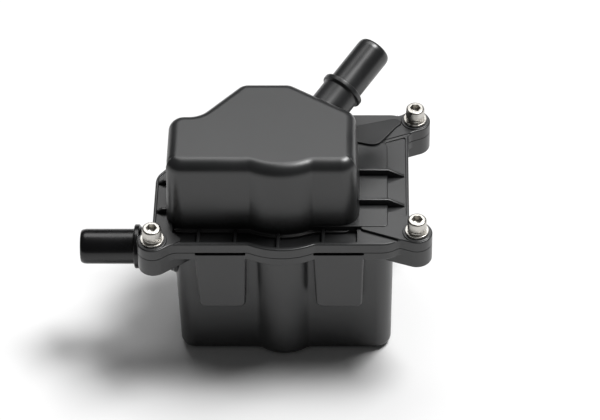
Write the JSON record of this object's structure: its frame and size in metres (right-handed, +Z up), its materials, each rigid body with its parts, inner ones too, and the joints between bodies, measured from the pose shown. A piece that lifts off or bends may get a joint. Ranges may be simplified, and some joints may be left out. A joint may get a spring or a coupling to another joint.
{
  "type": "oil catch can",
  "caption": "Moulded oil catch can with a domed screwed-on cover, a low side inlet port and an angled upper outlet port.",
  "frame": {"origin": "middle of the flat base, on the plane it rests on", "axes": "+X to the right as seen from the front, away from the inlet port; +Y to the back; +Z up"},
  "size_m": [0.1579, 0.097, 0.1183],
  "materials": {
    "plastic": "satin moulded, fine grain",
    "plastic_inner": "plain moulded",
    "gloss_plastic": "smooth glossy",
    "steel": "bright stainless",
    "sleeve_steel": "turned",
    "brass": "turned",
    "rubber": "smooth",
    "mesh": "knitted wire"
  },
  "bodies": {
    "root": {"reservoir": "plastic", "cover": "plastic", "seal": "rubber", "baffle_tray": "plastic_inner", "mesh_retainer": "plastic_inner", "mesh_pack": "mesh", "inlet_spigot": "gloss_plastic", "cap_screw_front_left": "steel", "cap_screw_front_right": "steel", "cap_screw_back_right": "steel", "cap_screw_back_left": "steel", "lock_washer_front_left": "steel", "lock_washer_front_right": "steel", "lock_washer_back_right": "steel", "lock_washer_back_left": "steel", "flat_washer_front_left": "steel", "flat_washer_front_right": "steel", "flat_washer_back_right": "steel", "flat_washer_back_left": "steel", "clamp_sleeve_front_left": "sleeve_steel", "clamp_sleeve_front_right": "sleeve_steel", "clamp_sleeve_back_right": "sleeve_steel", "clamp_sleeve_back_left": "sleeve_steel", "threaded_insert_front_left": "brass", "threaded_insert_front_right": "brass", "threaded_insert_back_right": "brass", "threaded_insert_back_left": "brass"}
  },
  "joints": []
}
